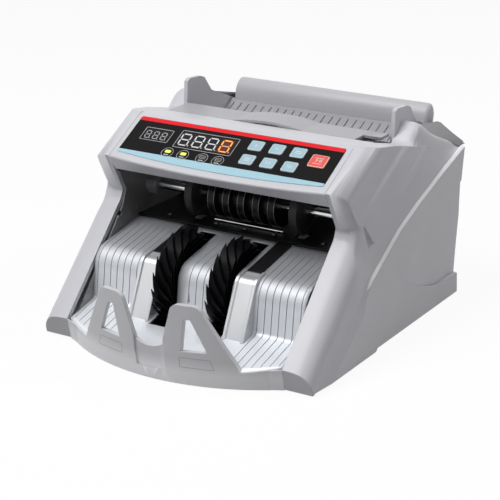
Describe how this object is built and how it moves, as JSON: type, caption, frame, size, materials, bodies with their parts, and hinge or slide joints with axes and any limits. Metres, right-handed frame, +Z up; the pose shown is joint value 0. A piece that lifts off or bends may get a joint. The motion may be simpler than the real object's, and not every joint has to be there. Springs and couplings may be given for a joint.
{
  "type": "banknote counting machine",
  "caption": "Tabletop banknote counter with a rear hopper, sloping control panel, grooved counting drum, bladed stacker wheels and a bowed front wall with tall note stops.",
  "frame": {"origin": "on the table under the middle of the machine's bounding box", "axes": "+X to the viewer's right, front towards -Y, +Z up"},
  "size_m": [0.248, 0.2997, 0.177],
  "materials": {
    "shell_grey": "fine matt moulding, light warm grey",
    "bed_silver": "silver-grey satin",
    "slide_silver": "bright silver, polished",
    "plate_steel": "zinc-plated sheet",
    "polished_steel": "ground and polished",
    "black_plastic": "black, satin",
    "black_rubber": "matt black",
    "bush_grey": "light grey bearing plastic",
    "motor_steel": "dark painted can",
    "overlay_film": "black printed film with a red and a pale blue strip",
    "display_dark": "dark filter",
    "lamp_lens": "small round lens",
    "key_blue": "pale blue",
    "key_red": "red",
    "board_green": "printed board",
    "coil_core": "varnished laminations",
    "screw_steel": "black oxide"
  },
  "bodies": {
    "chassis": {"right_cheek": "shell_grey", "left_cheek": "shell_grey", "base_tray": "plate_steel", "rubber_feet": "black_rubber", "right_frame": "plate_steel", "left_frame": "plate_steel", "frame_ties": "plate_steel", "front_wall": "shell_grey", "stacker_bed": "bed_silver", "note_slide_right": "slide_silver", "note_slide_left": "slide_silver", "baffle_plate": "black_plastic", "guide_rod": "polished_steel", "note_sensors": "black_plastic", "shaft_bushes": "bush_grey", "main_motor": "motor_steel", "drive_belt": "black_rubber", "control_head": "shell_grey", "batch_display": "display_dark", "count_display": "display_dark", "indicator_lamps": "lamp_lens", "panel_overlay": "overlay_film", "control_board": "board_green", "hopper_front": "shell_grey", "hinge_pins": "polished_steel", "retard_pad": "black_rubber", "hopper_tray": "shell_grey", "note_rest": "shell_grey", "rear_cover": "shell_grey", "power_inlet": "black_plastic", "switch_bezel": "black_plastic", "fuse_holder": "black_plastic", "cover_screws": "screw_steel", "transformer": "coil_core", "main_board": "board_green"},
    "drum": {"drum_shaft": "polished_steel", "count_drum": "black_plastic", "transport_wheel_right": "black_rubber", "transport_wheel_left": "black_rubber", "drum_pulley": "black_plastic"},
    "feed": {"feed_shaft": "polished_steel", "feed_rollers": "black_rubber", "feed_pulley": "black_plastic"},
    "pinch": {"pinch_shaft": "polished_steel", "pinch_rollers": "polished_steel"},
    "stacker": {"stacker_shaft": "polished_steel", "stacker_wheel_right": "black_plastic", "stacker_wheel_left": "black_plastic", "stacker_pulley": "black_plastic"},
    "rotor": {"motor_pulley": "polished_steel"},
    "cover": {"hopper_cover": "shell_grey"},
    "rocker": {"rocker_switch": "black_plastic"},
    "screw": {"thickness_screw": "bush_grey"},
    "key_1_body": {"key_1": "key_blue"},
    "key_2_body": {"key_2": "key_blue"},
    "key_3_body": {"key_3": "key_blue"},
    "key_4_body": {"key_4": "key_blue"},
    "key_5_body": {"key_5": "key_blue"},
    "key_6_body": {"key_6": "key_blue"},
    "start_key_body": {"start_key": "key_red"}
  },
  "joints": [
    {"name": "drum_spin", "type": "hinge", "parent": "chassis", "child": "drum", "pos_m": [0, 0.0005, 0.101], "axis": [1, 0, 0], "continuous": true},
    {"name": "feed_spin", "type": "hinge", "parent": "chassis", "child": "feed", "pos_m": [0, 0.062, 0.1], "axis": [1, 0, 0], "continuous": true},
    {"name": "stacker_spin", "type": "hinge", "parent": "chassis", "child": "stacker", "pos_m": [0, -0.056, 0.0475], "axis": [1, 0, 0], "continuous": true},
    {"name": "rotor_spin", "type": "hinge", "parent": "chassis", "child": "rotor", "pos_m": [0, 0.095, 0.042], "axis": [1, 0, 0], "continuous": true},
    {"name": "pinch_spin", "type": "hinge", "parent": "chassis", "child": "pinch", "pos_m": [0, 0.0005, 0.072], "axis": [1, 0, 0], "continuous": true},
    {"name": "cover_lift", "type": "hinge", "parent": "chassis", "child": "cover", "pos_m": [0, 0.0505, 0.1524], "axis": [-1, 0, 0], "range_deg": [0, 70]},
    {"name": "rocker_tip", "type": "hinge", "parent": "chassis", "child": "rocker", "pos_m": [-0.012, 0.1425, 0.032], "axis": [-1, 0, 0], "range_deg": [0, 16]},
    {"name": "screw_turn", "type": "hinge", "parent": "chassis", "child": "screw", "pos_m": [0.086, 0.033, 0.14], "axis": [0, 0, 1], "range_deg": [-180, 180]},
    {"name": "key_1_press", "type": "slide", "parent": "chassis", "child": "key_1_body", "axis": [0, 0.4833, -0.8755], "range_m": [0, 0.0005], "stiffness_N_per_m": 800},
    {"name": "key_2_press", "type": "slide", "parent": "chassis", "child": "key_2_body", "axis": [0, 0.4833, -0.8755], "range_m": [0, 0.0005], "stiffness_N_per_m": 800},
    {"name": "key_3_press", "type": "slide", "parent": "chassis", "child": "key_3_body", "axis": [0, 0.4833, -0.8755], "range_m": [0, 0.0005], "stiffness_N_per_m": 800},
    {"name": "key_4_press", "type": "slide", "parent": "chassis", "child": "key_4_body", "axis": [0, 0.4833, -0.8755], "range_m": [0, 0.0005], "stiffness_N_per_m": 800},
    {"name": "key_5_press", "type": "slide", "parent": "chassis", "child": "key_5_body", "axis": [0, 0.4833, -0.8755], "range_m": [0, 0.0005], "stiffness_N_per_m": 800},
    {"name": "key_6_press", "type": "slide", "parent": "chassis", "child": "key_6_body", "axis": [0, 0.4833, -0.8755], "range_m": [0, 0.0005], "stiffness_N_per_m": 800},
    {"name": "start_key_press", "type": "slide", "parent": "chassis", "child": "start_key_body", "axis": [0, 0.4833, -0.8755], "range_m": [0, 0.0005], "stiffness_N_per_m": 800}
  ],
  "couplings": [
    {"joint": "feed_spin", "follows": "drum_spin", "ratio": -1.1429},
    {"joint": "stacker_spin", "follows": "drum_spin", "ratio": -1.4545},
    {"joint": "rotor_spin", "follows": "drum_spin", "ratio": -2},
    {"joint": "pinch_spin", "follows": "drum_spin", "ratio": -2.2989}
  ]
}
